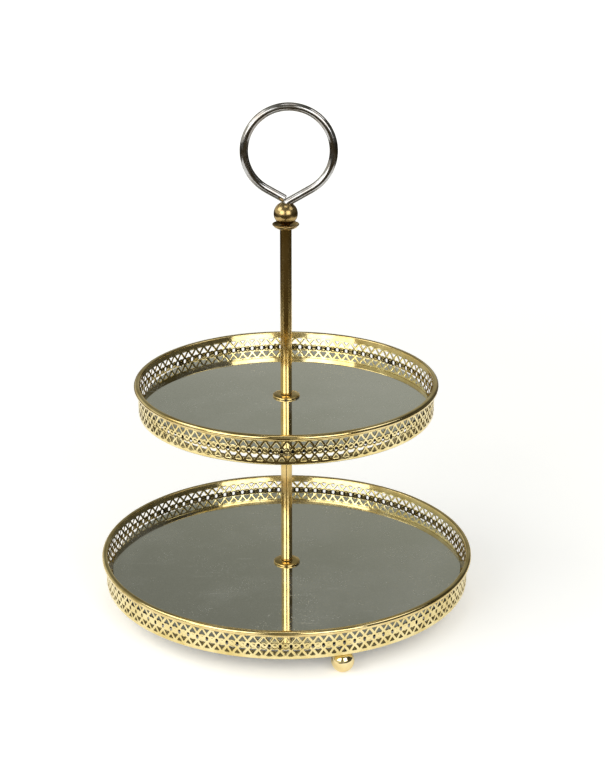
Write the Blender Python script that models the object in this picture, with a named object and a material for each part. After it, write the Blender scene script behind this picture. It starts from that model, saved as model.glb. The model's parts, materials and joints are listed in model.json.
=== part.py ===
"""A two-tier cake stand: two round mirror trays with brass gallery walls, clamped on a centre rod.

Metres, +Z up, the front faces -Y. The origin is on the floor, on the rod's axis.
"""

from math import asin, cos, pi, radians, sin, tan

import bmesh
import bpy
from mathutils import Vector

GAP = 0.0003                    # left between two pieces that touch

# Trays. Heights inside a tray are counted from the bottom edge of its wall.
LOWER_TRAY_RADIUS = 0.150       # over the rim bead
UPPER_TRAY_RADIUS = 0.120
LOWER_TRAY_Z = 0.0169           # bottom edge of the lower wall, above the floor
TIER_SPACING = 0.145            # from one tray to the next
BEAD_RADIUS = 0.0022
BEAD_Z = 0.022
WALL_INSET = 0.0032             # the wall's outer face, in from the bead's outer edge
SHEET = 0.0006
LIP_WIDTH = 0.011               # flat ring inside the wall's bottom edge
MIRROR_TOP_Z = 0.0106
MIRROR_THICKNESS = 0.0020
MIRROR_CLEARANCE = 0.0045       # between the mirror's edge and the wall
PAD_THICKNESS = 0.0005
PLATE_THICKNESS = 0.0005
PLATE_CLEARANCE = 0.009
EAR_WIDTH = 0.012
EAR_COUNT = 8

# Centre rod.
ROD_RADIUS = 0.0045
ROD_BORE = 0.0039
STUD_RADIUS = 0.0025            # M5 thread
STUD_HOLE = STUD_RADIUS + GAP
THREAD_ENGAGEMENT = 0.008
PLUG_LENGTH = 0.014
PLUG_RECESS = 0.0005
FLANGE_RADIUS = 0.0106
FLANGE_EDGE = 0.0012
FLANGE_DOME = 0.0019
SUPPORT_FLANGE_THICKNESS = 0.0015
UPPER_ROD_TOP_Z = 0.3092

# Feet.
FOOT_RADIUS = 0.00895
FOOT_HALF_HEIGHT = 0.0083       # each ball has a small flat at its top and bottom
FOOT_CIRCLE = 0.139
FOOT_ANGLES = {"front": radians(-72.4), "right": radians(47.6), "left": radians(167.6)}
FOOT_SCREW_RADIUS = 0.0015
FOOT_HOLE = FOOT_SCREW_RADIUS + GAP

# Handle.
SAUCER_RADIUS = 0.0104
SAUCER_HUB_HEIGHT = 0.003
KNOB_RADIUS = 0.00928
KNOB_Z = 0.3215
KNOB_BOTTOM_Z = 0.3128
WIRE_RADIUS = 0.0032
LOOP_RADIUS = 0.034             # of the wire's centre line
LOOP_X = 0.0025                 # the ring hangs a little to one side of the stem
LOOP_Z = 0.3702
ARM_SLOPE = radians(30)
STEM_BEND = 0.005
STEM_TAPER = 0.0015             # the wire narrows to its threaded stem over this length
LEFT_ARM_END_X = -0.0006
LEFT_ARM_SET_BACK = 0.0069      # the cut end lies behind the stem
SET_BACK_FALL = 0.25            # how far it drops for each unit that it goes back

BASE_SCREW_HEAD_RADIUS = 0.00475
BASE_SCREW_HEAD = 0.003
BASE_SCREW_REACH = 0.020        # above the washer's underside
BASE_WASHER_RADIUS = 0.008
BASE_WASHER_THICKNESS = 0.001

UPPER_TRAY_Z = LOWER_TRAY_Z + TIER_SPACING

# How many flat faces go round each kind of round piece.
TRAY_STEPS = 64
PLATE_HOLE_STEPS = 24
FLANGE_STEPS = 32
ROD_STEPS = 24
PLUG_STEPS = 20
BALL_STEPS = 24
FOOT_STEPS = 20
SMALL_SCREW_STEPS = 14
WIRE_SIDES = 12
BEAD_SIDES = 8


def clear_scene():
    for obj in list(bpy.data.objects):
        bpy.data.objects.remove(obj, do_unlink=True)


def material(name, colour, roughness, metallic):
    made = bpy.data.materials.new(name)
    made.use_nodes = True
    shader = made.node_tree.nodes["Principled BSDF"]
    shader.inputs["Base Color"].default_value = (*colour, 1.0)
    shader.inputs["Roughness"].default_value = roughness
    shader.inputs["Metallic"].default_value = metallic
    made.diffuse_color = (*colour, 1.0)
    return made


def place(name, mesh, finish, location=(0, 0, 0)):
    mesh.materials.append(finish)
    obj = bpy.data.objects.new(name, mesh)
    obj.location = location
    bpy.context.scene.collection.objects.link(obj)
    return obj


def smooth(mesh):
    mesh.shade_smooth()
    mesh.set_sharp_from_angle(angle=radians(35))


def arc(centre_r, centre_z, radius, start, end, steps):
    """Points (r, z) along an arc, with angles from the +r direction."""
    turns = [start + (end - start) * i / steps for i in range(steps + 1)]
    return [(centre_r + radius * cos(t), centre_z + radius * sin(t)) for t in turns]


def turned(name, profile, steps, finish, ring, location=(0, 0, 0)):
    """A piece turned about Z. The profile of (r, z) points runs down its outer side."""
    mesh = bpy.data.meshes.new(name)
    points = [(r, 0, z) for r, z in profile]
    edges = [(i, i + 1) for i in range(len(points) - 1)]
    if ring:
        edges.append((len(points) - 1, 0))
    mesh.from_pydata(points, edges, [])
    obj = place(name, mesh, finish, location)
    screw = obj.modifiers.new("Turn", "SCREW")
    screw.steps = steps
    screw.render_steps = steps
    screw.use_merge_vertices = True
    screw.merge_threshold = 0.00001
    screw.use_smooth_shade = True
    return obj


def washer(name, outer, hole, bottom, top, steps, finish):
    profile = [(outer, top), (outer, bottom), (hole, bottom), (hole, top)]
    return turned(name, profile, steps, finish, ring=True)


def cut(obj, cutter):
    """Subtracts the cutter, which stays in the scene as a hidden guide."""
    cutter.hide_render = True
    cutter.display_type = "WIRE"
    boolean = obj.modifiers.new("Cut " + cutter.name, "BOOLEAN")
    boolean.operation = "DIFFERENCE"
    boolean.solver = "EXACT"
    boolean.object = cutter


def swept_tube(points, radii, sides):
    """A round bar along points, with a radius at each and flat ends."""
    mesh = bpy.data.meshes.new("Bar")
    bar = bmesh.new()
    rings = []
    side = Vector((0, 1, 0))
    for i, point in enumerate(points):
        ahead = (points[min(i + 1, len(points) - 1)] - points[max(i - 1, 0)]).normalized()
        across = (side - ahead * side.dot(ahead)).normalized()
        other = ahead.cross(across)
        turns = [2 * pi * k / sides for k in range(sides)]
        rings.append(
            [bar.verts.new(point + radii[i] * (across * cos(t) + other * sin(t))) for t in turns]
        )
    for near, far in zip(rings, rings[1:]):
        for k in range(sides):
            after = (k + 1) % sides
            bar.faces.new((near[k], near[after], far[after], far[k]))
    bar.faces.new(reversed(rings[0]))
    bar.faces.new(rings[-1])
    bar.to_mesh(mesh)
    bar.free()
    smooth(mesh)
    return mesh


def rim_bead(name, tray_radius, tray_z, finish):
    centre = tray_radius - BEAD_RADIUS
    profile = arc(centre, tray_z + BEAD_Z, BEAD_RADIUS, pi / 2, -3 * pi / 2, BEAD_SIDES)[:-1]
    return turned(name, profile, TRAY_STEPS, finish, ring=True)


def gallery_wall(name, tray_radius, tray_z, finish):
    outer = tray_radius - WALL_INSET
    top = tray_z + BEAD_Z - BEAD_RADIUS - GAP
    return washer(name, outer, outer - SHEET, tray_z, top, TRAY_STEPS, finish)


def bottom_lip(name, tray_radius, tray_z, finish):
    """The flat ring inside the wall's bottom edge."""
    outer = tray_radius - WALL_INSET - SHEET - GAP
    return washer(name, outer, outer - LIP_WIDTH, tray_z, tray_z + SHEET, TRAY_STEPS, finish)


def mirror_disc(name, tray_radius, tray_z, finish):
    radius = tray_radius - WALL_INSET - SHEET - MIRROR_CLEARANCE
    top = tray_z + MIRROR_TOP_Z
    return washer(name, radius, STUD_HOLE, top - MIRROR_THICKNESS, top, TRAY_STEPS, finish)


def mirror_pad(name, tray_radius, tray_z, finish):
    radius = tray_radius - WALL_INSET - SHEET - MIRROR_CLEARANCE
    top = tray_z + MIRROR_TOP_Z - MIRROR_THICKNESS - GAP
    return washer(name, radius, STUD_HOLE, top - PAD_THICKNESS, top, TRAY_STEPS, finish)


def plate_top(tray_z):
    return tray_z + MIRROR_TOP_Z - MIRROR_THICKNESS - PAD_THICKNESS - 2 * GAP


def base_plate(name, tray_radius, tray_z, finish):
    """A round plate whose ears reach out to the wall, with the stud's hole at its centre."""
    wall_inside = tray_radius - WALL_INSET - SHEET
    disc_radius = wall_inside - PLATE_CLEARANCE
    ear_radius = wall_inside - 2 * GAP
    half_ear = EAR_WIDTH / 2
    disc_half = asin(half_ear / disc_radius)
    ear_half = asin(half_ear / ear_radius)
    span = 2 * pi / EAR_COUNT
    bare_steps = 6
    outline = []
    for i in range(EAR_COUNT):
        middle = i * span
        outline.append((disc_radius, middle - disc_half))
        outline.append((ear_radius, middle - ear_half))
        outline.append((ear_radius, middle + ear_half))
        bare = span - 2 * disc_half
        outline += [
            (disc_radius, middle + disc_half + bare * k / bare_steps) for k in range(bare_steps)
        ]
    top = plate_top(tray_z)
    bottom = top - PLATE_THICKNESS
    hole = [(STUD_HOLE, 2 * pi * i / PLATE_HOLE_STEPS) for i in range(PLATE_HOLE_STEPS)]
    plate = bmesh.new()
    loops = {}
    for z in (bottom, top):
        for key, ring in (("out", outline), ("in", hole)):
            loops[key, z] = [plate.verts.new((r * cos(t), r * sin(t), z)) for r, t in ring]
    for key in ("out", "in"):
        low, high = loops[key, bottom], loops[key, top]
        for i in range(len(low)):
            after = (i + 1) % len(low)
            plate.faces.new((low[i], low[after], high[after], high[i]))
    for z in (bottom, top):
        rims = []
        for key in ("out", "in"):
            ring = loops[key, z]
            rims += [plate.edges.get((ring[i], ring[i - 1])) for i in range(len(ring))]
        bmesh.ops.triangle_fill(plate, edges=rims, use_beauty=True, use_dissolve=False)
    bmesh.ops.recalc_face_normals(plate, faces=plate.faces)
    mesh = bpy.data.meshes.new(name)
    plate.to_mesh(mesh)
    plate.free()
    return place(name, mesh, finish)


def add_tray(prefix, tray_radius, tray_z, finishes):
    """One tray. Returns its lip, which the lower tray's feet are screwed to."""
    gallery_wall(prefix + "_gallery_wall", tray_radius, tray_z, finishes["gallery"])
    rim_bead(prefix + "_rim_bead", tray_radius, tray_z, finishes["bead"])
    mirror_disc(prefix + "_mirror", tray_radius, tray_z, finishes["mirror"])
    mirror_pad(prefix + "_mirror_pad", tray_radius, tray_z, finishes["felt"])
    base_plate(prefix + "_base_plate", tray_radius, tray_z, finishes["steel"])
    return bottom_lip(prefix + "_bottom_lip", tray_radius, tray_z, finishes["gallery"])


def rod_flange(name, mirror_top, finish):
    """The domed washer that a rod stands on."""
    bottom = mirror_top + GAP
    profile = [
        (ROD_RADIUS + GAP, bottom + FLANGE_DOME),
        (FLANGE_RADIUS - 0.0030, bottom + FLANGE_EDGE + 0.0004),
        (FLANGE_RADIUS - 0.0006, bottom + FLANGE_EDGE),
        (FLANGE_RADIUS, bottom + FLANGE_EDGE - 0.0004),
        (FLANGE_RADIUS, bottom),
        (STUD_HOLE, bottom),
        (STUD_HOLE, bottom + FLANGE_DOME),
    ]
    turned(name, profile, FLANGE_STEPS, finish, ring=True)
    return bottom + FLANGE_DOME + GAP


def rod_tube(name, bottom, top, finish):
    bevel = 0.0003
    profile = [
        (ROD_RADIUS - bevel, top),
        (ROD_RADIUS, top - bevel),
        (ROD_RADIUS, bottom + bevel),
        (ROD_RADIUS - bevel, bottom),
        (ROD_BORE, bottom),
        (ROD_BORE, top),
    ]
    return turned(name, profile, ROD_STEPS, finish, ring=True)


def thread_plug(name, bottom, finish):
    """The tapped plug pressed into the end of a rod."""
    top = bottom + PLUG_LENGTH
    return washer(name, ROD_BORE - GAP, STUD_HOLE, bottom, top, PLUG_STEPS, finish)


def add_rod(prefix, bottom, top, finishes):
    rod_tube(prefix + "_rod", bottom, top, finishes["rod"])
    top_plug = top - PLUG_RECESS - PLUG_LENGTH
    thread_plug(prefix + "_rod_top_plug", top_plug, finishes["steel"])
    thread_plug(prefix + "_rod_bottom_plug", bottom + PLUG_RECESS, finishes["steel"])


def tier_stud(lower_rod_top, upper_rod_bottom, finish):
    """The stud that is fixed in the upper rod and screws into the lower one."""
    bevel = 0.0004
    low = lower_rod_top - PLUG_RECESS - THREAD_ENGAGEMENT
    high = upper_rod_bottom + PLUG_RECESS + PLUG_LENGTH - GAP
    profile = [
        (0, high),
        (STUD_RADIUS - bevel, high),
        (STUD_RADIUS, high - bevel),
        (STUD_RADIUS, low + bevel),
        (STUD_RADIUS - bevel, low),
        (0, low),
    ]
    return turned("tier_stud", profile, PLUG_STEPS, finish, ring=False)


def base_screw(under, finish):
    """The slotted screw that comes up through the lower tray into the rod."""
    head_top = under - GAP
    head_bottom = head_top - BASE_SCREW_HEAD
    shank_top = under + BASE_SCREW_REACH
    round_off = 0.001
    profile = [
        (0, shank_top),
        (STUD_RADIUS, shank_top),
        (STUD_RADIUS, head_top),
        (BASE_SCREW_HEAD_RADIUS, head_top),
        (BASE_SCREW_HEAD_RADIUS, head_bottom + round_off),
        (BASE_SCREW_HEAD_RADIUS - round_off, head_bottom),
        (0, head_bottom),
    ]
    screw = turned("base_screw", profile, PLUG_STEPS, finish, ring=False)
    slot_width = 0.0012
    slot_depth = 0.0013
    mesh = bpy.data.meshes.new("slot_cutter")
    slot = bmesh.new()
    bmesh.ops.create_cube(slot, size=1)
    slot_size = (4 * BASE_SCREW_HEAD_RADIUS, slot_width, 2 * slot_depth)
    bmesh.ops.scale(slot, vec=slot_size, verts=slot.verts)
    slot.to_mesh(mesh)
    slot.free()
    cutter = place("slot_cutter", mesh, finish, (0, 0, head_bottom))
    cut(screw, cutter)
    return screw


def foot_place(angle):
    return (FOOT_CIRCLE * cos(angle), FOOT_CIRCLE * sin(angle), 0)


def foot_ball(name, angle, finish):
    """A ball with a flat at its bottom and at its top, drilled from the top."""
    flat = asin(FOOT_HALF_HEIGHT / FOOT_RADIUS)
    hole_depth = 0.010
    top = 2 * FOOT_HALF_HEIGHT
    outside = arc(0, FOOT_HALF_HEIGHT, FOOT_RADIUS, flat, -flat, FOOT_STEPS // 2)
    hole_floor = top - hole_depth
    profile = [(0, hole_floor), (FOOT_HOLE, hole_floor), (FOOT_HOLE, top), *outside, (0, 0)]
    return turned(name, profile, FOOT_STEPS, finish, ring=False, location=foot_place(angle))


def foot_screw(name, angle, finish):
    head_radius = 0.00275
    head_height = 0.0020
    length = 0.0102
    under_head = LOWER_TRAY_Z + SHEET + GAP
    shoulder = 0.0008
    profile = [
        (0, under_head + head_height),
        (head_radius - shoulder, under_head + head_height),
        (head_radius, under_head + head_height - shoulder),
        (head_radius, under_head),
        (FOOT_SCREW_RADIUS, under_head),
        (FOOT_SCREW_RADIUS, under_head - length),
        (0, under_head - length),
    ]
    location = foot_place(angle)
    return turned(name, profile, SMALL_SCREW_STEPS, finish, ring=False, location=location)


def drill_foot_holes(lip):
    low = LOWER_TRAY_Z - SHEET
    high = LOWER_TRAY_Z + 2 * SHEET
    profile = [(0, high), (FOOT_HOLE, high), (FOOT_HOLE, low), (0, low)]
    brass = lip.data.materials[0]
    for end, angle in FOOT_ANGLES.items():
        location = foot_place(angle)
        name = "drill_" + end
        cut(lip, turned(name, profile, SMALL_SCREW_STEPS, brass, ring=False, location=location))


def handle_path():
    """The handle wire's centre line and radii, from its cut end round the ring to the stem's end."""
    tangent = ARM_SLOPE + pi / 2
    left = (LOOP_X - LOOP_RADIUS * sin(ARM_SLOPE), LOOP_Z - LOOP_RADIUS * cos(ARM_SLOPE))
    right = (LOOP_X + LOOP_RADIUS * sin(ARM_SLOPE), left[1])
    flat = []
    arm_steps = 5
    for i in range(arm_steps):
        x = LEFT_ARM_END_X + (left[0] - LEFT_ARM_END_X) * i / arm_steps
        flat.append((x, left[1] - (x - left[0]) * tan(ARM_SLOPE)))
    ring_steps = 40
    start = -tangent
    sweep = -(2 * pi - 2 * ARM_SLOPE)
    for i in range(ring_steps + 1):
        turn = start + sweep * i / ring_steps
        flat.append((LOOP_X + LOOP_RADIUS * cos(turn), LOOP_Z + LOOP_RADIUS * sin(turn)))
    bend_x = STEM_BEND * (1 - sin(ARM_SLOPE))
    bend_z = right[1] - (right[0] - bend_x) * tan(ARM_SLOPE)
    for i in range(1, arm_steps):
        x = right[0] + (bend_x - right[0]) * i / arm_steps
        flat.append((x, right[1] - (right[0] - x) * tan(ARM_SLOPE)))
    bend_steps = 5
    centre_z = bend_z - STEM_BEND * cos(ARM_SLOPE)
    for i in range(bend_steps + 1):
        turn = tangent + (pi - tangent) * i / bend_steps
        flat.append((STEM_BEND * (1 + cos(turn)), centre_z + STEM_BEND * sin(turn)))
    points = []
    back_end = LOOP_Z
    for i, (x, z) in enumerate(flat):
        on_left = i <= arm_steps + ring_steps // 2 and z < back_end
        share = (back_end - z) / (back_end - flat[0][1]) if on_left else 0.0
        back = LEFT_ARM_SET_BACK * share * share * (3 - 2 * share)
        points.append(Vector((x, back, z - SET_BACK_FALL * back)))
    radii = [WIRE_RADIUS] * len(points)
    stem_top = centre_z - STEM_TAPER
    stem_end = UPPER_ROD_TOP_Z - PLUG_RECESS - THREAD_ENGAGEMENT
    points += [Vector((0, 0, stem_top)), Vector((0, 0, stem_end))]
    radii += [STUD_RADIUS, STUD_RADIUS]
    return points, radii


def handle_loop(finish):
    points, radii = handle_path()
    return place("handle_loop", swept_tube(points, radii, WIRE_SIDES), finish)


def ball_knob(finish):
    """The ball that the handle's stem goes down through. The stem's own shape, a little fatter, bores it."""
    lowest = -asin((KNOB_Z - KNOB_BOTTOM_Z) / KNOB_RADIUS)
    outside = arc(0, KNOB_Z, KNOB_RADIUS, pi / 2, lowest, BALL_STEPS // 2)
    outside[0] = (0, KNOB_Z + KNOB_RADIUS)
    knob = turned("ball_knob", [*outside, (0, KNOB_BOTTOM_Z)], BALL_STEPS, finish, ring=False)
    points, radii = handle_path()
    fat_radii = [radius + GAP for radius in radii]
    fat_wire = swept_tube(points, fat_radii, WIRE_SIDES + 4)
    cut(knob, place("wire_cutter", fat_wire, finish))
    return knob


def saucer(finish):
    """The dished collar under the ball."""
    base = UPPER_ROD_TOP_Z + GAP
    hub = base + SAUCER_HUB_HEIGHT
    profile = [
        (SAUCER_RADIUS - 0.0004, base + 0.0040),
        (SAUCER_RADIUS, base + 0.0037),
        (SAUCER_RADIUS - 0.0006, base + 0.0026),
        (0.0075, base + 0.0010),
        (0.0050, base),
        (STUD_HOLE, base),
        (STUD_HOLE, hub),
        (0.0042, hub),
        (0.0048, base + 0.0013),
        (0.0071, base + 0.0018),
        (0.0090, base + 0.0029),
    ]
    return turned("saucer_collar", profile, FLANGE_STEPS, finish, ring=True)


def add_feet(lip, finishes):
    drill_foot_holes(lip)
    for end, angle in FOOT_ANGLES.items():
        foot_ball(f"foot_ball_{end}", angle, finishes["foot"])
        foot_screw(f"foot_screw_{end}", angle, finishes["steel"])


def main():
    clear_scene()
    gold = (0.62, 0.44, 0.15)
    finishes = {
        "gallery": material("gallery_brass", gold, 0.22, 1.0),
        "bead": material("rim_brass", gold, 0.18, 1.0),
        "rod": material("rod_brass", (0.58, 0.42, 0.17), 0.2, 1.0),
        "foot": material("foot_brass", (0.70, 0.50, 0.18), 0.1, 1.0),
        "knob": material("knob_brass", (0.48, 0.35, 0.16), 0.16, 1.0),
        "mirror": material("mirror_glass", (0.75, 0.76, 0.74), 0.02, 1.0),
        "felt": material("backing_felt", (0.06, 0.06, 0.06), 0.95, 0.0),
        "steel": material("zinc_steel", (0.45, 0.46, 0.47), 0.35, 1.0),
        "nickel": material("handle_nickel", (0.50, 0.49, 0.47), 0.12, 1.0),
    }
    lip = add_tray("lower", LOWER_TRAY_RADIUS, LOWER_TRAY_Z, finishes)
    add_feet(lip, finishes)
    add_tray("upper", UPPER_TRAY_RADIUS, UPPER_TRAY_Z, finishes)

    brass, steel = finishes["rod"], finishes["steel"]
    lower_rod_bottom = rod_flange("lower_rod_flange", LOWER_TRAY_Z + MIRROR_TOP_Z, brass)
    upper_rod_bottom = rod_flange("upper_rod_flange", UPPER_TRAY_Z + MIRROR_TOP_Z, brass)
    support_top = plate_top(UPPER_TRAY_Z) - PLATE_THICKNESS - GAP
    support_bottom = support_top - SUPPORT_FLANGE_THICKNESS
    hole = STUD_HOLE
    washer("support_flange", FLANGE_RADIUS, hole, support_bottom, support_top, FLANGE_STEPS, brass)
    lower_rod_top = support_bottom - GAP
    add_rod("lower", lower_rod_bottom, lower_rod_top, finishes)
    add_rod("upper", upper_rod_bottom, UPPER_ROD_TOP_Z, finishes)
    tier_stud(lower_rod_top, upper_rod_bottom, steel)

    washer_top = plate_top(LOWER_TRAY_Z) - PLATE_THICKNESS - GAP
    washer_bottom = washer_top - BASE_WASHER_THICKNESS
    washer("base_washer", BASE_WASHER_RADIUS, hole, washer_bottom, washer_top, PLUG_STEPS, steel)
    base_screw(washer_bottom, steel)

    saucer(finishes["knob"])
    ball_knob(finishes["knob"])
    handle_loop(finishes["nickel"])


main()
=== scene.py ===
"""The looks of a two-tier mirror cake stand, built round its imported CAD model.

Metres, +Z up, the front faces -Y. Heights and radii come from the CAD nodes' boxes.
"""

import json
from math import asin, atan2, cos, hypot, pi, radians, sin, sqrt, tan

import bpy
import numpy as np
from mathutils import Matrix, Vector, geometry

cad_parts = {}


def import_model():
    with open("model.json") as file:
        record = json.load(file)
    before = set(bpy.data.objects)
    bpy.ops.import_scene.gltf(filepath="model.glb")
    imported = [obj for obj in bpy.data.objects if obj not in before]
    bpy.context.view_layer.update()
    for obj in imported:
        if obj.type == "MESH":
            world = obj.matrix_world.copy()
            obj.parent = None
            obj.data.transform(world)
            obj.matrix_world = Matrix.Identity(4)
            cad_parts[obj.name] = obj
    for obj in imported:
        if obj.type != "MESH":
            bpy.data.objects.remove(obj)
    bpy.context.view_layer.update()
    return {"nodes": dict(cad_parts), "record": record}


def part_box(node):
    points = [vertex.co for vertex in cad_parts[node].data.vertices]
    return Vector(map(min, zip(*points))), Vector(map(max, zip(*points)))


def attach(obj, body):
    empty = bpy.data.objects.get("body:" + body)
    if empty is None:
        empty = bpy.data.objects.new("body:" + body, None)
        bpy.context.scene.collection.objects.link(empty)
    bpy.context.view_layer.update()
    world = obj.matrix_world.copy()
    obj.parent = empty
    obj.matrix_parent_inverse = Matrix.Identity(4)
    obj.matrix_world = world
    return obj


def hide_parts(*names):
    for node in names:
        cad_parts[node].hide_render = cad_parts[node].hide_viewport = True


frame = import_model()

MM = 0.001

# The pierced pattern of the gallery walls. Heights are counted from the middle of the row of discs.
PERIODS = {"lower": 113, "upper": 90}
FIRST_DISC = {"lower": radians(-0.45), "upper": radians(0.25)}     # turned from the front towards +X
ROW_HEIGHT = 10.9 * MM          # the discs' centres, above the wall's bottom edge
PIERCED_HALF = 7.7 * MM
DISC_RADIUS = 3.0 * MM
CROSSING = 3.0 * MM             # where the links from two discs meet the zigzag bars
APEX = 8.5 * MM                 # where two zigzag bars meet, in the plain band
LINK_WIDTH = 1.85 * MM
BAR_WIDTH = 1.85 * MM
BAR_CROWN = 0.20 * MM           # how far a bar's edges lie below its middle
DISC_VALLEY = 1.7 * MM          # radius of the groove between a disc's ring and its boss
GROOVE_REACH = 0.75 * MM        # from the groove's bottom to the level metal on each side
DISC_GROOVE = 0.28 * MM
# Radii round a disc that carry mesh points.
DISC_RINGS = (2.45 * MM, 2.1 * MM, DISC_VALLEY, 1.3 * MM, 0.8 * MM, 0.35 * MM)
HOLE_MARGINS = (0.2 * MM, 0.42 * MM)    # mesh rows beside each hole
BAND_MARGIN = 0.45 * MM         # mesh rows beside the pierced part, above and below
SHEET = 0.6 * MM
BACK_RELIEF = 0.2 * MM          # how far the relief shows on the sheet's back, at most
BOTTOM_BEND = 1.0 * MM          # outer radius of the fold between the wall and its lip
WALL_IN_BEAD = 1.6 * MM         # how far the wall runs up into the rolled rim
OUTLINE_STEP = 0.78 * MM
LIP_WIDTH = 11 * MM
STUD_HOLE = 2.8 * MM            # radius of the hole for the stud
FINE_ANGLE = 24                 # degrees above which the edges of the turned pieces stay sharp

# The studio. The lit part of the table runs from left to right and from front to back.
FLOOR_HALF = 9.0
GLOW_REACH = 3.0
# Floor glow by distance from the middle, in GLOW_REACH: none under the stand, as painted shade, and rising
# outwards, as painted light.
FLOOR_GLOW = [(0.034, 0.0), (0.049, 0.43), (0.2, 0.52), (0.6, 0.95), (1.0, 1.0)]
LIT_TABLE = (-0.62, 0.62, -0.37, 0.60)
DARK_STRIP = (-0.045, 0.018, -0.20)     # left, right and back end of a strip of cloth at the front

# The sky's colour by the sine of its height, and its strength by the sine of the bearing towards +X.
SKY = [
    (0.0, (0.40, 0.39, 0.35)),
    (0.334, (0.345, 0.34, 0.285)),
    (0.355, (0.30, 0.30, 0.25)),
    (0.404, (0.25, 0.25, 0.20)),
    (0.434, (0.215, 0.215, 0.175)),
    (0.468, (0.19, 0.19, 0.155)),
    (1.0, (0.19, 0.19, 0.17)),
]
SKY_ACROSS = [
    (-1.0, 2.1),
    (-0.5, 1.7),
    (-0.2, 0.78),
    (-0.14, 0.78),
    (0.14, 1.2),
    (0.3, 0.9),
    (0.5, 0.3),
    (1.0, 0.2),
]
SKY_STRONGEST = 2.1
# Each light: bearing from the front towards +X and height in degrees, distance, width, height, radiance.
SOFTBOXES = {
    "left_softbox": (-38, 26, 1.7, 1.2, 0.95, 3.1),
    "right_softbox": (28, 26, 1.7, 1.0, 0.95, 3.1),
    "left_side_light": (-86, 44, 1.6, 0.9, 0.8, 2.4),
    "right_side_light": (86, 50, 1.6, 0.9, 0.6, 1.7),
    "overhead": (0, 84, 1.6, 0.5, 0.4, 2.0),
}
LIGHTS_AIM = 0.15               # height that the lights face
CAMERA_PLACE = (-0.0007, -1.4257, 0.7134)
CAMERA_PITCH, CAMERA_YAW = 0.36016, 0.009485
CAMERA_LENS = 114.65            # mm, on a sensor 36 mm wide

# Each plating: bright and deep colour, least and greatest roughness, grain a metre, depth of the grain.
PLATINGS = {
    "gallery_gold": ((0.88, 0.75, 0.40), (0.68, 0.53, 0.20), 0.08, 0.20, 620.0, 0.6),
    "rim_gold": ((0.84, 0.68, 0.34), (0.60, 0.44, 0.16), 0.06, 0.18, 420.0, 0.55),
    "lip_gold": ((0.88, 0.75, 0.40), (0.68, 0.53, 0.20), 0.40, 0.55, 900.0, 0.12),
    "rod_gold": ((0.74, 0.56, 0.25), (0.58, 0.40, 0.12), 0.10, 0.20, 800.0, 0.12),
    "foot_gold": ((0.90, 0.77, 0.45), (0.78, 0.62, 0.30), 0.04, 0.09, 600.0, 0.12),
    "knob_bronze": ((0.50, 0.36, 0.16), (0.34, 0.22, 0.07), 0.20, 0.30, 700.0, 0.12),
}

# The ball and the handle's wire, as in the CAD.
BALL_CENTRE = 321.5 * MM
WIRE_RADIUS = 3.2 * MM
STEM_RADIUS = 2.5 * MM
LOOP_RADIUS = 34 * MM
LOOP_X = 2.5 * MM
ARM_SLOPE = radians(30)
STEM_BEND = 5.0 * MM
STEM_TAPER = 1.5 * MM
LEFT_ARM_END_X = -0.6 * MM
LEFT_ARM_SET_BACK = 6.9 * MM
SET_BACK_FALL = 0.25


# ---------------------------------------------------------------- meshes


def box_of(node):
    """(lowest corner, highest corner) of a CAD node."""
    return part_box(node)


def outer_radius(node):
    return box_of(node)[1].x


def heights(node):
    low, high = box_of(node)
    return low.z, high.z


def new_piece(name, points, faces, finish, body, replaced, sharp_angle=40):
    mesh = bpy.data.meshes.new(name)
    mesh.from_pydata([tuple(p) for p in points], [], faces)
    mesh.validate()
    mesh.shade_smooth()
    mesh.set_sharp_from_angle(angle=radians(sharp_angle))
    mesh.materials.append(finish)
    piece = bpy.data.objects.new(name, mesh)
    bpy.context.scene.collection.objects.link(piece)
    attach(piece, body)
    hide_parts(*replaced)
    return piece


def arc(centre_r, centre_z, radius, start, end, steps):
    """Points (r, z) along an arc, with angles in degrees from the +r direction."""
    turns = [radians(start + (end - start) * i / steps) for i in range(steps + 1)]
    return [(centre_r + radius * cos(t), centre_z + radius * sin(t)) for t in turns]


def turned(profile, steps, ring, centre=(0.0, 0.0)):
    """Points and faces of a shape turned about Z. The profile (r, z) runs down its outer side."""
    points, rows = [], []
    for r, z in profile:
        if r < 1e-7:
            rows.append([len(points)] * steps)
            points.append((centre[0], centre[1], z))
            continue
        rows.append(list(range(len(points), len(points) + steps)))
        for i in range(steps):
            turn = 2 * pi * i / steps
            points.append((centre[0] + r * cos(turn), centre[1] + r * sin(turn), z))
    pairs = list(zip(rows, rows[1:]))
    if ring:
        pairs.append((rows[-1], rows[0]))
    faces = []
    for upper, lower in pairs:
        for i in range(steps):
            after = (i + 1) % steps
            corners = [upper[i], lower[i], lower[after], upper[after]]
            face = [c for k, c in enumerate(corners) if c != corners[k - 1]]
            if len(face) > 2:
                faces.append(face)
    return points, faces


def swept(points, radii, sides):
    """Points and faces of a round bar along a path, with a radius at each point and closed ends."""
    rings, out = [], []
    side = Vector((0, 1, 0))
    for i, point in enumerate(points):
        ahead = (points[min(i + 1, len(points) - 1)] - points[max(i - 1, 0)]).normalized()
        across = (side - ahead * side.dot(ahead)).normalized()
        other = ahead.cross(across)
        rings.append(list(range(len(out), len(out) + sides)))
        for k in range(sides):
            turn = 2 * pi * k / sides
            out.append(point + radii[i] * (across * cos(turn) + other * sin(turn)))
    faces = []
    for near, far in zip(rings, rings[1:]):
        for k in range(sides):
            after = (k + 1) % sides
            faces.append([near[k], near[after], far[after], far[k]])
    faces.append(list(reversed(rings[0])))
    faces.append(rings[-1])
    return out, faces


# ---------------------------------------------------------------- the gallery walls


def spaced(a, b):
    """Points from a up to but not including b, about a step apart."""
    along = (b[0] - a[0], b[1] - a[1])
    count = max(1, round(hypot(*along) / OUTLINE_STEP))
    return [(a[0] + along[0] * i / count, a[1] + along[1] * i / count) for i in range(count)]


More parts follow.
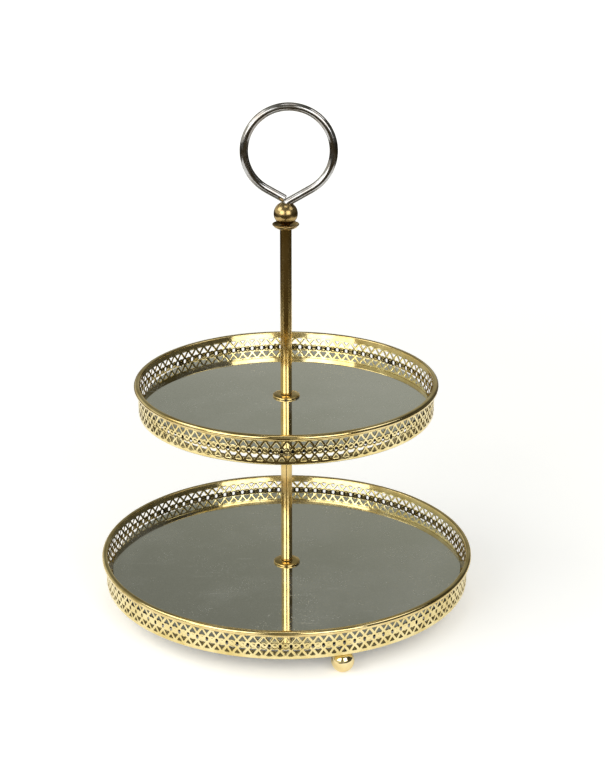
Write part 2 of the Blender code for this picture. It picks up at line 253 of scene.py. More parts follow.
def circle_part(start, end, radius, step=OUTLINE_STEP):
    """Points along a circle about the disc's centre, from angle start up to but not including end."""
    count = max(2, round(abs(end - start) * radius / step))
    return [
        (radius * cos(start + (end - start) * i / count), radius * sin(start + (end - start) * i / count))
        for i in range(count)
    ]


def on_disc(slope, rise):
    """Where the bar's edge z = slope * x + rise leaves the disc, on its +x side."""
    a, b, c = 1 + slope * slope, 2 * slope * rise, rise * rise - DISC_RADIUS * DISC_RADIUS
    x = (-b + sqrt(b * b - 4 * a * c)) / (2 * a)
    return x, slope * x + rise


def hole_outlines(half):
    """The holes that one period of the pattern touches, as closed outlines that run anticlockwise."""
    slope = CROSSING / half
    edge = LINK_WIDTH / 2 * hypot(half, CROSSING) / half
    steep = (APEX - CROSSING) / half
    steep_edge = BAR_WIDTH / 2 * hypot(1, steep)
    apex = (0.0, APEX - steep_edge)
    side_x = (apex[1] - edge) / (slope + steep)
    side = (side_x, slope * side_x + edge)
    foot = on_disc(slope, edge)
    turn = atan2(foot[1], foot[0])
    left_foot, left_side = (-foot[0], foot[1]), (-side[0], side[1])
    tall = spaced(foot, side) + spaced(side, apex) + spaced(apex, left_side)
    tall += spaced(left_side, left_foot) + circle_part(pi - turn, turn, DISC_RADIUS)
    low_tall = [(x, -z) for x, z in reversed(tall)]

    tip = (half, CROSSING - edge)
    meet = on_disc(slope, -edge)
    angle = atan2(meet[1], meet[0])
    left = spaced(tip, meet) + circle_part(angle, -angle, DISC_RADIUS)
    left += spaced((meet[0], -meet[1]), (half, -tip[1])) + [(half, -tip[1])]
    right = [(2 * half - x, z) for x, z in reversed(left)][1:-1]
    slot = left + right

    point = (half, CROSSING + steep_edge)
    corner = (half - (PIERCED_HALF - point[1]) / steep, PIERCED_HALF)
    left = spaced((half, PIERCED_HALF), corner) + spaced(corner, point) + [point]
    right = [(2 * half - x, z) for x, z in reversed(left)][1:-1]
    small = left + right
    low_small = [(x, -z) for x, z in reversed(small)]

    beyond = [[(x - 2 * half, z) for x, z in outline] for outline in (slot, small, low_small)]
    return [tall, low_tall, slot, small, low_small, *beyond]


def offset_outline(outline, distance):
    """The outline moved outwards, into the metal."""
    moved = []
    for i, (x, z) in enumerate(outline):
        before, after = outline[i - 1], outline[(i + 1) % len(outline)]
        normals = []
        for a, b in ((before, (x, z)), ((x, z), after)):
            length = hypot(b[0] - a[0], b[1] - a[1])
            normals.append(((b[1] - a[1]) / length, (a[0] - b[0]) / length))
        (p, q), (r, s) = normals
        share = distance / max(1 + p * r + q * s, 0.6)
        moved.append((x + (p + r) * share, z + (q + s) * share))
    return moved


def distance_to(outlines, points):
    """Each point's distance to the nearest hole's edge."""
    nearest = np.full(len(points), 1.0)
    for outline in outlines:
        ring = np.array(outline)
        for a, b in zip(ring, np.roll(ring, -1, axis=0)):
            along = b - a
            share = np.clip((points - a) @ along / (along @ along), 0, 1)
            gap = np.linalg.norm(points - a - share[:, None] * along, axis=1)
            nearest = np.minimum(nearest, gap)
    return nearest


def inside(outline, points):
    """Which points lie in the outline."""
    found = np.zeros(len(points), bool)
    for (ax, az), (bx, bz) in zip(outline, outline[1:] + outline[:1]):
        if az == bz:
            continue
        crosses = (points[:, 1] < az) != (points[:, 1] < bz)
        at = ax + (points[:, 1] - az) * (bx - ax) / (bz - az)
        found ^= crosses & (points[:, 0] < at)
    return found


def pattern_chains(half, low, high, holes):
    """The lines that the mesh of one period follows, each a list of points."""
    chains = []
    for outline in holes:
        chains.append(outline + outline[:1])
        for margin in HOLE_MARGINS:
            moved = offset_outline(outline, margin)
            chains.append(moved + moved[:1])
    for radius in DISC_RINGS:
        ring = circle_part(0, 2 * pi, radius, 0.7 * MM)
        chains.append(ring + ring[:1])
    rows = [low + share * BOTTOM_BEND for share in (0, 0.05, 0.2, 0.45, 0.72, 1)]
    rows += [low + 1.9 * MM, -PIERCED_HALF - BAND_MARGIN, PIERCED_HALF + BAND_MARGIN, high]
    columns = 8
    for z in rows:
        chains.append([(-half + 2 * half * i / columns, z) for i in range(columns + 1)])
    for x in (-half, half):
        chains.append([(x, low), (x, high)])
    return chains


def points_and_edges(chains, half):
    """The chains as one list of points and the edges between them, without what lies past the period."""
    points, edges, index = [], [], {}
    for chain in chains:
        previous = None
        for x, z in chain:
            if abs(x) > half + 1e-8:
                previous = None
                continue
            key = (round(x * 1e7), round(z * 1e7))
            if key not in index:
                index[key] = len(points)
                points.append(Vector((x, z)))
            here = index[key]
            if previous is not None and previous != here:
                edges.append((previous, here))
            previous = here
    return points, edges


def anticlockwise(flat, triangles):
    corners = flat[triangles]
    first, second = corners[:, 1] - corners[:, 0], corners[:, 2] - corners[:, 0]
    clockwise = first[:, 0] * second[:, 1] - first[:, 1] * second[:, 0] < 0
    triangles[clockwise] = triangles[clockwise][:, ::-1]
    return triangles


def flat_period(half, low, high):
    """One period of the pattern, laid flat: its points, its triangles and the holes' outlines."""
    holes = hole_outlines(half)
    points, edges = points_and_edges(pattern_chains(half, low, high, holes), half)
    made = geometry.delaunay_2d_cdt(points, edges, [], 0, 1e-7)
    flat = np.array([tuple(p) for p in made[0]])
    triangles = np.array([f for f in made[2] if len(f) == 3])
    middles = flat[triangles].mean(axis=1)
    solid = np.ones(len(triangles), bool)
    for outline in holes:
        solid &= ~inside(outline, middles)
    triangles = triangles[solid]
    used = np.unique(triangles)
    renumber = np.full(len(flat), -1)
    renumber[used] = np.arange(len(used))
    flat = flat[used]
    return flat, anticlockwise(flat, renumber[triangles]), holes


def boundary_edges(triangles):
    """The directed edges that only one triangle has."""
    directed = np.concatenate([triangles[:, [0, 1]], triangles[:, [1, 2]], triangles[:, [2, 0]]])
    known = {tuple(e) for e in directed.tolist()}
    return [(a, b) for a, b in directed.tolist() if (b, a) not in known]


def relief(flat, holes):
    """How far each point of the front lies below the sheet's face."""
    from_edge = distance_to(holes, flat)
    from_disc = np.hypot(flat[:, 0], flat[:, 1])
    crown = BAR_CROWN * np.clip(1 - from_edge / (BAR_WIDTH / 2), 0, 1) ** 2
    groove_share = np.clip(1 - np.abs(from_disc - DISC_VALLEY) / GROOVE_REACH, 0, 1)
    return crown + DISC_GROOVE * np.sin(groove_share * pi / 2) ** 2


def sheet_sides(flat, drop, radius, bottom):
    """(radii, heights) of the points on the sheet's front, and the same on its back."""
    heights_up = bottom + ROW_HEIGHT + flat[:, 1]
    bend = np.clip(1 - (flat[:, 1] + ROW_HEIGHT) / BOTTOM_BEND, 0, 1)
    out = np.sqrt(1 - bend * bend)
    inner_bend = BOTTOM_BEND - SHEET
    front_r = radius - BOTTOM_BEND + BOTTOM_BEND * out - drop
    back_r = radius - BOTTOM_BEND + inner_bend * out + np.minimum(drop, BACK_RELIEF)
    back_z = np.where(bend > 0, bottom + BOTTOM_BEND - inner_bend * bend, heights_up)
    return (front_r, heights_up), (back_r, back_z)


def join_seam(flat, on_left, on_right):
    """The points to keep, each point's place among them, and 1 where it is the next period's."""
    left_at = {round(z * 1e6): i for i, z in enumerate(flat[:, 1]) if on_left[i]}
    keep = np.flatnonzero(~on_right)
    place = np.full(len(flat), -1)
    place[keep] = np.arange(len(keep))
    shift = np.zeros(len(flat), int)
    for i in np.flatnonzero(on_right):
        place[i] = place[left_at[round(flat[i, 1] * 1e6)]]
        shift[i] = 1
    return keep, place, shift


def gallery(prefix, finish, edge_finish, body):
    """The pierced wall: one period made flat, given its relief, then bent round and repeated."""
    node = prefix + "_gallery_wall"
    radius = outer_radius(node)
    bottom, cad_top = heights(node)
    count = PERIODS[prefix]
    half = pi * radius / count
    top = cad_top + WALL_IN_BEAD - bottom - ROW_HEIGHT
    flat, triangles, holes = flat_period(half, -ROW_HEIGHT, top)
    on_left = np.abs(flat[:, 0] + half) < 1e-6
    on_right = np.abs(flat[:, 0] - half) < 1e-6
    keep, place, shift = join_seam(flat, on_left, on_right)

    turn = -pi / 2 + FIRST_DISC[prefix] + flat[keep, 0] / radius
    points = []
    for r, z in sheet_sides(flat, relief(flat, holes), radius, bottom):
        for k in range(count):
            angle = turn + 2 * pi * k / count
            points.append(np.stack([r[keep] * np.cos(angle), r[keep] * np.sin(angle), z[keep]], 1))

    faces = []
    cut = []
    for a, b in boundary_edges(triangles):
        if not (on_left[[a, b]].all() or on_right[[a, b]].all()):
            cut.append((a, b))
    back = count * len(keep)
    for k in range(count):
        at = ((k + shift) % count) * len(keep) + place
        front_faces = at[triangles]
        faces.extend(front_faces.tolist())
        faces.extend((front_faces[:, ::-1] + back).tolist())
        faces.extend([[at[b], at[a], at[a] + back, at[b] + back] for a, b in cut])
    name = prefix + "_gallery"
    piece = new_piece(name, np.concatenate(points), faces, finish, body, [node], 50)
    # The holes' cut sides take the second finish, which is dark partly as painted shade.
    piece.data.materials.append(edge_finish)
    sheet_faces = 2 * len(triangles)
    period_faces = sheet_faces + len(cut)
    for i, face in enumerate(piece.data.polygons):
        if i % period_faces >= sheet_faces:
            face.material_index = 1
    return piece


# ---------------------------------------------------------------- turned pieces


def rim_bead(prefix, finish, body):
    """The rolled rim: round on top and outside, and flush with the wall on the inside."""
    node = prefix + "_rim_bead"
    low, high = heights(node)
    radius = (high - low) / 2
    centre_r, centre_z = outer_radius(node) - radius, (low + high) / 2
    round_off = 1.1 * MM
    inner = centre_r - radius
    profile = arc(centre_r, centre_z, radius, 90, -90, 20)
    profile += [(inner + 0.2 * MM, low), (inner, low + 0.2 * MM)]
    profile += arc(inner + round_off, high - round_off, round_off, 180, 90, 6)
    points, faces = turned(profile, 288, ring=True)
    points = np.array(points)
    angle = np.arctan2(points[:, 1], points[:, 0])
    wave = 0.03 * np.sin(7 * angle + 1) + 0.02 * np.sin(17 * angle) + 0.012 * np.sin(41 * angle)
    points[:, 2] += (wave - 0.07) * MM
    return new_piece(prefix + "_rim", points, faces, finish, body, [node])


def bottom_lip(prefix, finish, body):
    """The flat ring under the tray, with its inner edge turned up a little."""
    node = prefix + "_bottom_lip"
    low, high = heights(node)
    outer = outer_radius(prefix + "_gallery_wall") - BOTTOM_BEND
    inner = outer_radius(node) - LIP_WIDTH
    turn_up = 0.35 * MM
    profile = [(outer, high), (outer, low)]
    profile += arc(inner + turn_up, low + turn_up, turn_up, -90, -180, 5)
    raised = high + 0.1 * MM
    profile += [(inner, raised), (inner + 0.5 * MM, raised), (inner + 0.9 * MM, high)]
    points, faces = turned(profile, 192, ring=True)
    name = prefix + "_lip"
    return new_piece(name, points, faces, finish, body, [node], FINE_ANGLE)


def mirror(prefix, finish, edge_finish, body):
    """The round mirror. Its edge and underside are near black."""
    node = prefix + "_mirror"
    low, high = heights(node)
    radius = outer_radius(node)
    bevel = 0.35 * MM
    face_edge = radius - bevel
    rings = [STUD_HOLE] + [face_edge * share for share in (0.1, 0.3, 0.5, 0.7, 0.85, 0.95)]
    profile = [(r, high) for r in rings]
    profile += [(face_edge, high), (radius, high - bevel), (radius, low), (STUD_HOLE, low)]
    points, faces = turned(profile, 256, ring=True)
    piece = new_piece(prefix + "_mirror_glass", points, faces, finish, body, [node])
    piece.data.materials.append(edge_finish)
    for face in piece.data.polygons:
        if face.center.z < high - 0.01 * MM:
            face.material_index = 1
    return piece


def rod(prefix, finish, body):
    """The tube between two tiers, or above the upper one."""
    node = prefix + "_rod"
    low, high = heights(node)
    radius = outer_radius(node)
    bore = 3.9 * MM
    bevel = 0.3 * MM
    stretch = [high - bevel + (low + 2 * bevel - high) * i / 12 for i in range(13)]
    profile = [(bore, high), (radius - bevel, high), (radius - 0.1 * MM, high - 0.1 * MM)]
    profile += [(radius, z) for z in stretch]
    profile += [(radius - 0.1 * MM, low + 0.1 * MM), (radius - bevel, low), (bore, low)]
    points, faces = turned(profile, 96, ring=True)
    return new_piece(prefix + "_rod_tube", points, faces, finish, body, [node], FINE_ANGLE)


def rod_flange(prefix, finish, body):
    """The domed washer that the rod stands on."""
    node = prefix + "_rod_flange"
    low, high = heights(node)
    outer = outer_radius(node)
    collar = 4.8 * MM
    edge = low + 1.2 * MM
    profile = [(STUD_HOLE, high), (collar, high)]
    profile += [(collar + 0.5 * MM, high - 0.25 * MM), (outer - 3.2 * MM, edge + 0.55 * MM)]
    profile += [(outer - 1.8 * MM, edge + 0.28 * MM)]
    profile += arc(outer - 0.6 * MM, edge - 0.6 * MM, 0.6 * MM, 80, 0, 6)
    profile += [(outer, low + 0.15 * MM), (outer - 0.15 * MM, low), (STUD_HOLE, low)]
    points, faces = turned(profile, 96, ring=True)
    return new_piece(prefix + "_flange", points, faces, finish, body, [node], FINE_ANGLE)


def support_flange(finish, body):
    """The flat washer under the upper tray."""
    node = "support_flange"
    low, high = heights(node)
    outer = outer_radius(node)
    round_off = 0.4 * MM
    profile = [(STUD_HOLE, high), (outer - 0.1 * MM, high), (outer, high - 0.1 * MM)]
    profile += arc(outer - round_off, low + round_off, round_off, 0, -90, 5) + [(STUD_HOLE, low)]
    points, faces = turned(profile, 96, ring=True)
    return new_piece("underside_flange", points, faces, finish, body, [node], FINE_ANGLE)


def saucer(finish, body):
    """The dished collar under the ball, pressed from sheet with a rolled edge."""
    node = "saucer_collar"
    low, high = heights(node)
    outer = outer_radius(node)
    profile = [(STUD_HOLE, high - 1.0 * MM), (4.2 * MM, high - 1.0 * MM), (4.5 * MM, low + 1.3 * MM)]
    profile += [(5.6 * MM, low + 1.25 * MM), (7.1 * MM, low + 1.75 * MM), (8.6 * MM, low + 2.7 * MM)]
    profile += [(9.4 * MM, low + 3.45 * MM)]
    profile += arc(outer - 0.45 * MM, high - 0.45 * MM, 0.45 * MM, 120, -40, 9)
    profile += [(outer - 1.0 * MM, low + 2.3 * MM), (8.6 * MM, low + 1.4 * MM)]
    profile += [(7.0 * MM, low + 0.55 * MM)]
    profile += [(5.4 * MM, low + 0.12 * MM), (4.6 * MM, low), (STUD_HOLE, low)]
    points, faces = turned(profile, 112, ring=True)
    return new_piece("saucer", points, faces, finish, body, [node], 60)


def knob(finish, body):
    """The ball under the handle, with a small flat where it sits on the saucer."""
    node = "ball_knob"
    low, _ = heights(node)
    radius = outer_radius(node)
    lowest = -asin((BALL_CENTRE - low) / radius) * 180 / pi
    profile = arc(0, BALL_CENTRE, radius, 90, lowest, 56)
    profile[0] = (0, BALL_CENTRE + radius)
    points, faces = turned([*profile, (0, low)], 112, ring=False)
    return new_piece("handle_ball", points, faces, finish, body, [node])


def foot(node, finish, body):
    """A turned ball foot with a small flat above and below."""
    low, high = box_of(node)
    centre = ((low.x + high.x) / 2, (low.y + high.y) / 2)
    radius = (high.x - low.x) / 2
    half = (high.z - low.z) / 2
    flat = asin(half / radius) * 180 / pi
    middle = (low.z + high.z) / 2
    profile = [(0, high.z)] + arc(0, middle, radius, flat, -flat, 48) + [(0, low.z)]
    points, faces = turned(profile, 96, ring=False, centre=centre)
    name = node.replace("foot_ball", "foot")
    return new_piece(name, points, faces, finish, body, [node])


# ---------------------------------------------------------------- the handle


def handle_path():
    """The wire's centre line and radii, from its cut end round the ring to the stem's end."""
    _, top = heights("handle_loop")
    loop_z = top - LOOP_RADIUS - WIRE_RADIUS
    tangent = ARM_SLOPE + pi / 2
    left = (LOOP_X - LOOP_RADIUS * sin(ARM_SLOPE), loop_z - LOOP_RADIUS * cos(ARM_SLOPE))
    right = (LOOP_X + LOOP_RADIUS * sin(ARM_SLOPE), left[1])
    flat = []
    arm_steps, ring_steps, bend_steps = 18, 150, 14
    for i in range(arm_steps):
        x = LEFT_ARM_END_X + (left[0] - LEFT_ARM_END_X) * i / arm_steps
        flat.append((x, left[1] - (x - left[0]) * tan(ARM_SLOPE)))
    start = -tangent
    sweep = -(2 * pi - 2 * ARM_SLOPE)
    for i in range(ring_steps + 1):
        turn = start + sweep * i / ring_steps
        flat.append((LOOP_X + LOOP_RADIUS * cos(turn), loop_z + LOOP_RADIUS * sin(turn)))
    bend_x = STEM_BEND * (1 - sin(ARM_SLOPE))
    bend_z = right[1] - (right[0] - bend_x) * tan(ARM_SLOPE)
    for i in range(1, arm_steps):
        x = right[0] + (bend_x - right[0]) * i / arm_steps
        flat.append((x, right[1] - (right[0] - x) * tan(ARM_SLOPE)))
    centre_z = bend_z - STEM_BEND * cos(ARM_SLOPE)
    for i in range(bend_steps + 1):
        turn = tangent + (pi - tangent) * i / bend_steps
        flat.append((STEM_BEND * (1 + cos(turn)), centre_z + STEM_BEND * sin(turn)))
    points = []
    for i, (x, z) in enumerate(flat):
        on_left = i <= arm_steps + ring_steps // 2 and z < loop_z
        share = (loop_z - z) / (loop_z - flat[0][1]) if on_left else 0.0
        back = LEFT_ARM_SET_BACK * share * share * (3 - 2 * share)
        points.append(Vector((x, back, z - SET_BACK_FALL * back)))
    radii = [WIRE_RADIUS] * len(points)
    chamfer = 0.5 * MM
    ahead = (points[1] - points[0]).normalized()
    points.insert(1, points[0] + ahead * chamfer)
    radii.insert(1, WIRE_RADIUS)
    radii[0] = WIRE_RADIUS - chamfer
    low, _ = heights("handle_loop")
    points += [Vector((0, 0, centre_z - STEM_TAPER)), Vector((0, 0, low))]
    radii += [STEM_RADIUS, STEM_RADIUS]
    return points, radii


def handle(finish, body):
    points, radii = handle_path()
    mesh_points, faces = swept(points, radii, 36)
    return new_piece("ring_handle", mesh_points, faces, finish, body, ["handle_loop"])


# ---------------------------------------------------------------- materials


def colour_ramp(tree, source, stops):
    """A ramp's colour output. stops is a list of (position, value or colour)."""
    made = tree.nodes.new("ShaderNodeValToRGB")
    elements = made.color_ramp.elements
    while len(elements) < len(stops):
        elements.new(0.5)
    for element, (position, value) in zip(elements, stops):
        colour = value if isinstance(value, tuple) else (value, value, value)
        element.position = position
        element.color = (*colour, 1)
    tree.links.new(source, made.inputs["Fac"])
    return made.outputs["Color"]


class Nodes:
    """A short way to build a material's nodes."""

    def __init__(self, name):
        self.material = bpy.data.materials.new(name)
        self.material.use_nodes = True
        self.tree = self.material.node_tree
        self.shader = self.tree.nodes["Principled BSDF"]
        self.coords = self.tree.nodes.new("ShaderNodeTexCoord").outputs["Object"]

    def link(self, source, target):
        self.tree.links.new(source, target)

    def set(self, **values):
        for name, value in values.items():
            self.shader.inputs[name.replace("_", " ")].default_value = value

    def noise(self, scale, detail=4.0, roughness=0.55, stretch=(1, 1, 1), turn=0.0):
        mapping = self.tree.nodes.new("ShaderNodeMapping")
        mapping.inputs["Scale"].default_value = stretch
        mapping.inputs["Rotation"].default_value = (0, 0, turn)
        self.link(self.coords, mapping.inputs["Vector"])
        made = self.tree.nodes.new("ShaderNodeTexNoise")
        made.inputs["Scale"].default_value = scale
        made.inputs["Detail"].default_value = detail
        made.inputs["Roughness"].default_value = roughness
        self.link(mapping.outputs["Vector"], made.inputs["Vector"])
        return made.outputs["Fac"]

    def specks(self, scale, stretch=(1, 1, 1)):
        mapping = self.tree.nodes.new("ShaderNodeMapping")
        mapping.inputs["Scale"].default_value = stretch
        self.link(self.coords, mapping.inputs["Vector"])
        made = self.tree.nodes.new("ShaderNodeTexVoronoi")
        made.inputs["Scale"].default_value = scale
        self.link(mapping.outputs["Vector"], made.inputs["Vector"])
        return made.outputs["Distance"]

    def ramp(self, source, stops):
        return colour_ramp(self.tree, source, stops)

    def mix(self, share, first, second, kind="MIX"):
        made = self.tree.nodes.new("ShaderNodeMix")
        made.data_type = "RGBA"
        made.blend_type = kind
        for source, name, form in ((share, "Factor", "VALUE"), (first, "A", "RGBA"), (second, "B", "RGBA")):
            socket = next(s for s in made.inputs if s.name == name and s.type == form)
            if isinstance(source, bpy.types.NodeSocket):
                self.link(source, socket)
            elif isinstance(source, tuple):
                socket.default_value = (*source, 1)
            else:
                socket.default_value = source
        return [s for s in made.outputs if s.type == "RGBA"][0]

    def bump(self, height, strength, distance):
        made = self.tree.nodes.new("ShaderNodeBump")
        made.inputs["Strength"].default_value = strength
        made.inputs["Distance"].default_value = distance
        self.link(height, made.inputs["Height"])
        self.link(made.outputs["Normal"], self.shader.inputs["Normal"])


def plating(name, grain_stretch=(1, 1, 1)):
    """Gold-coloured plating: colour clouds, uneven polish, a fine grain and dull specks."""
    bright, deep, smooth, rough, grain, grain_depth = PLATINGS[name]
    made = Nodes(name)
    made.set(Metallic=1.0)
    colour = made.ramp(made.noise(55.0, 5.0), [(0.32, deep), (0.62, bright)])
    specks = made.ramp(made.specks(420.0), [(0.05, 1.0), (0.11, 0.0)])
    dull = tuple(0.62 * c for c in deep)
    made.link(made.mix(specks, colour, dull), made.shader.inputs["Base Color"])
    polish = made.ramp(made.noise(140.0, 6.0, stretch=grain_stretch), [(0.3, smooth), (0.75, rough)])
    made.link(polish, made.shader.inputs["Roughness"])
    made.bump(made.noise(grain, 3.0, stretch=grain_stretch), grain_depth, 0.05 * MM)
    return made.material


def shaded_cut_edge():
    """The edges of the punched holes: dull, tarnished cut metal, drawn darker still as painted shade."""
    made = Nodes("shaded_cut_edge")
    made.set(Metallic=1.0, Roughness=0.38)
    # Near-black to dark brown: partly tarnish of the cut metal, partly painted shade on the holes' sides.
    tarnish_and_shade = made.ramp(made.noise(300.0), [(0.35, (0.10, 0.065, 0.02)), (0.7, (0.26, 0.18, 0.06))])
    made.link(tarnish_and_shade, made.shader.inputs["Base Color"])
    return made.material


def mirror_face():
    """Silvered glass with a grey-green cast, dust, small spots and fine scratches."""
    made = Nodes("mirror_face")
    made.set(Metallic=1.0)
    clean = made.ramp(made.noise(900.0, 2.0), [(0.35, (0.80, 0.82, 0.79)), (0.65, (0.90, 0.92, 0.89))])
    spots = made.ramp(made.specks(210.0), [(0.06, 1.0), (0.14, 0.0)])
    patches = made.ramp(made.noise(38.0, 6.0), [(0.44, 0.0), (0.64, 1.0)])
    film = made.ramp(made.noise(14.0, 5.0), [(0.45, 0.0), (0.8, 0.22)])
    dust = made.ramp(made.specks(560.0), [(0.12, 0.9), (0.24, 0.0)])
    dusty = made.mix(1.0, made.mix(1.0, spots, dust, "ADD"), patches, "MULTIPLY")
    marks = made.mix(1.0, dusty, film, "ADD")
    for turn in (0.45, 2.2):
        lines = made.noise(42.0, 2.0, stretch=(0.4, 9, 1), turn=turn)
        marks = made.mix(1.0, marks, made.ramp(lines, [(0.70, 0.0), (0.72, 0.22)]), "ADD")
    made.link(made.mix(marks, clean, (0.55, 0.55, 0.50)), made.shader.inputs["Base Color"])
    made.link(made.mix(marks, (0.02, 0.02, 0.02), (0.5, 0.5, 0.5)), made.shader.inputs["Roughness"])
    made.link(made.ramp(marks, [(0.0, 1.0), (1.0, 0.3)]), made.shader.inputs["Metallic"])
    return made.material


def mirror_edge():
    """The near-black edge and back of the mirror."""
    made = Nodes("mirror_edge")
    colour = made.ramp(made.noise(300.0), [(0.35, (0.006, 0.008, 0.006)), (0.7, (0.03, 0.035, 0.028))])
    made.link(colour, made.shader.inputs["Base Color"])
    made.set(Roughness=0.4)
    return made.material


def nickel():
    """Worn nickel plating on the handle's wire, with a warm cast and fine pits."""
    made = Nodes("worn_nickel")
    made.set(Metallic=1.0)
    clouds = made.ramp(made.noise(70.0, 5.0), [(0.35, (0.33, 0.30, 0.27)), (0.65, (0.50, 0.50, 0.50))])
    pits = made.ramp(made.specks(700.0), [(0.06, 1.0), (0.13, 0.0)])
    made.link(made.mix(pits, clouds, (0.20, 0.17, 0.13)), made.shader.inputs["Base Color"])
    polish = made.ramp(made.noise(200.0, 6.0), [(0.3, 0.10), (0.75, 0.24)])
    made.link(polish, made.shader.inputs["Roughness"])
    made.bump(made.noise(900.0, 3.0), 0.10, 0.05 * MM)
    return made.material


def felt():
    """The pads behind the mirrors."""
    made = Nodes("black_felt")
    fibres = made.noise(1800.0, 4.0)
    colour = made.ramp(fibres, [(0.3, (0.010, 0.010, 0.011)), (0.7, (0.045, 0.044, 0.046))])
    made.link(colour, made.shader.inputs["Base Color"])
    made.set(Roughness=0.95)
    made.bump(fibres, 0.5, 0.2 * MM)
    return made.material


def zinc():
    """Zinc-plated steel of the hidden hardware, with a faint spangle."""
    made = Nodes("zinc_plate")
    made.set(Metallic=1.0)
    spangle = made.ramp(made.specks(190.0), [(0.1, (0.46, 0.47, 0.49)), (0.7, (0.60, 0.61, 0.62))])
    made.link(spangle, made.shader.inputs["Base Color"])
    made.link(made.ramp(made.noise(160.0, 5.0), [(0.3, 0.28), (0.7, 0.46)]), made.shader.inputs["Roughness"])
    made.bump(made.noise(1200.0, 3.0), 0.1, 0.05 * MM)
    return made.material


# ---------------------------------------------------------------- the studio


def rectangle(left, right, front, back, z):
    return [(left, front, z), (right, front, z), (right, back, z), (left, back, z)]


def stage_plane(name, corners, faces, finish):
    mesh = bpy.data.meshes.new(name)
    mesh.from_pydata(corners, [], faces)
    mesh.materials.append(finish)
    plane = bpy.data.objects.new(name, mesh)
    bpy.context.scene.collection.objects.link(plane)
    return plane


def floor():
    """A white table top that glows on its own, as painted light that keeps it white; the glow is left out
    under the stand's middle, which paints the shade there.
    """
    finish = Nodes("pale_floor")
    finish.set(Base_Color=(0.90, 0.90, 0.895, 1), Roughness=0.9)
    finish.shader.inputs["Specular IOR Level"].default_value = 0.1
    finish.shader.inputs["Emission Color"].default_value = (1.0, 1.0, 0.99, 1)
    distance = finish.tree.nodes.new("ShaderNodeVectorMath")
    distance.operation = "LENGTH"
    finish.link(finish.coords, distance.inputs[0])
    share = finish.tree.nodes.new("ShaderNodeMath")
    share.operation = "DIVIDE"
    share.inputs[1].default_value = GLOW_REACH
    finish.link(distance.outputs["Value"], share.inputs[0])
    finish.link(finish.ramp(share.outputs[0], FLOOR_GLOW), finish.shader.inputs["Emission Strength"])
    corners = rectangle(-FLOOR_HALF, FLOOR_HALF, -FLOOR_HALF, FLOOR_HALF, 0)
    stage_plane("floor", corners, [(0, 1, 2, 3)], finish.material)


def dark_surround():
    """Dark cloth laid round the lit part of the table, which only the metal's reflections see."""
    finish = Nodes("black_cloth")
    finish.set(Base_Color=(0.062, 0.045, 0.018, 1), Roughness=0.95)
    finish.shader.inputs["Specular IOR Level"].default_value = 0.1
    left, right, front, back = LIT_TABLE
    strip_left, strip_right, strip_end = DARK_STRIP
    z = 2 * MM
    corners = rectangle(-FLOOR_HALF, FLOOR_HALF, -FLOOR_HALF, FLOOR_HALF, z)
    corners += rectangle(left, right, front, back, z)
    corners += rectangle(strip_left, strip_right, front, strip_end, z)
    faces = [(0, 1, 5, 4), (1, 2, 6, 5), (2, 3, 7, 6), (3, 0, 4, 7), (8, 9, 10, 11)]
    cloth = stage_plane("dark_surround", corners, faces, finish.material)
    cloth.visible_camera = False
    cloth.visible_diffuse = False
    cloth.visible_shadow = False


def softbox(name, azimuth, elevation, distance, width, height, brightness):
    """A rectangular light that faces the stand."""
    data = bpy.data.lights.new(name, "AREA")
    data.shape = "RECTANGLE"
    data.size = width
    data.size_y = height
    data.energy = brightness * pi * width * height
    lamp = bpy.data.objects.new(name, data)
    bpy.context.scene.collection.objects.link(lamp)
    turn, lift = radians(azimuth), radians(elevation)
    target = Vector((0, 0, LIGHTS_AIM))
    towards = Vector((sin(turn) * cos(lift), -cos(turn) * cos(lift), sin(lift)))
    lamp.location = target + distance * towards
    lamp.rotation_euler = (target - lamp.location).to_track_quat("-Z", "Y").to_euler()
    lamp.visible_camera = False


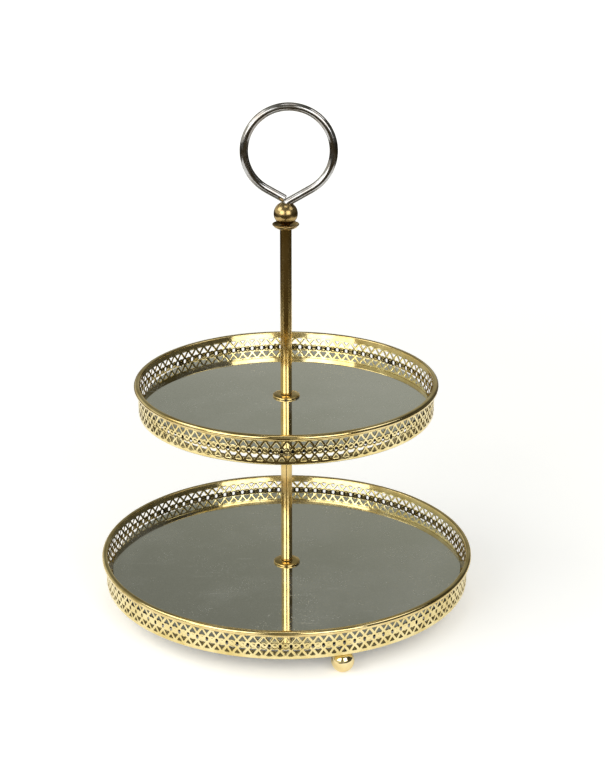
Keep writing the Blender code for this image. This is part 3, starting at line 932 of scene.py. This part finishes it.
def world():
    """Grey surroundings, lighter near the horizon, brightest at the left and darkest at the right."""
    made = bpy.data.worlds.new("studio")
    bpy.context.scene.world = made
    made.use_nodes = True
    tree = made.node_tree
    background = tree.nodes["Background"]
    coords = tree.nodes.new("ShaderNodeTexCoord")
    split = tree.nodes.new("ShaderNodeSeparateXYZ")
    tree.links.new(coords.outputs["Generated"], split.inputs["Vector"])
    tree.links.new(colour_ramp(tree, split.outputs["Z"], SKY), background.inputs["Color"])
    halved = tree.nodes.new("ShaderNodeMath")
    halved.operation = "MULTIPLY_ADD"
    halved.inputs[1].default_value = 0.5
    halved.inputs[2].default_value = 0.5
    tree.links.new(split.outputs["X"], halved.inputs[0])
    stops = [((bearing + 1) / 2, strength / SKY_STRONGEST) for bearing, strength in SKY_ACROSS]
    scaled = tree.nodes.new("ShaderNodeMath")
    scaled.operation = "MULTIPLY"
    scaled.inputs[1].default_value = SKY_STRONGEST
    tree.links.new(colour_ramp(tree, halved.outputs[0], stops), scaled.inputs[0])
    tree.links.new(scaled.outputs[0], background.inputs["Strength"])


def camera():
    data = bpy.data.cameras.new("camera")
    data.sensor_fit = "HORIZONTAL"
    data.sensor_width = 36.0
    data.lens = CAMERA_LENS
    made = bpy.data.objects.new("camera", data)
    bpy.context.scene.collection.objects.link(made)
    made.location = CAMERA_PLACE
    made.rotation_euler = (pi / 2 - CAMERA_PITCH, 0, -CAMERA_YAW)
    bpy.context.scene.camera = made


def studio():
    floor()
    dark_surround()
    for name, settings in SOFTBOXES.items():
        softbox(name, *settings)
    world()
    bpy.context.scene.view_settings.view_transform = "Standard"


# ---------------------------------------------------------------- everything together


def use_finish(nodes, finish):
    """Gives CAD nodes that stay in the visual model a procedural material."""
    for name in nodes:
        obj = frame["nodes"][name]
        obj.data.materials.clear()
        obj.data.materials.append(finish)


def build():
    gallery_gold = plating("gallery_gold")
    rim_gold = plating("rim_gold")
    lip_gold = plating("lip_gold")
    rod_gold = plating("rod_gold", grain_stretch=(1, 1, 0.06))
    foot_gold = plating("foot_gold")
    knob_gold = plating("knob_bronze")
    punched = shaded_cut_edge()
    face, edge = mirror_face(), mirror_edge()
    for prefix, body in (("lower", "base"), ("upper", "upper_tray")):
        gallery(prefix, gallery_gold, punched, body)
        rim_bead(prefix, rim_gold, body)
        bottom_lip(prefix, lip_gold, body)
        mirror(prefix, face, edge, body)
    rod("lower", rod_gold, "base")
    rod_flange("lower", rod_gold, "base")
    support_flange(rod_gold, "base")
    rod_flange("upper", rod_gold, "rod_flange")
    rod("upper", rod_gold, "upper_rod")
    saucer(knob_gold, "saucer")
    knob(knob_gold, "handle")
    handle(nickel(), "handle")
    for side in ("front", "right", "left"):
        foot("foot_ball_" + side, foot_gold, "base")
    use_finish(["lower_mirror_pad", "upper_mirror_pad"], felt())
    subparts = frame["record"]["subparts"]
    hidden_steel = [s["node"] for s in subparts if s["material_slot"] == "zinc_steel"]
    use_finish(hidden_steel, zinc())


camera()
studio()
build()
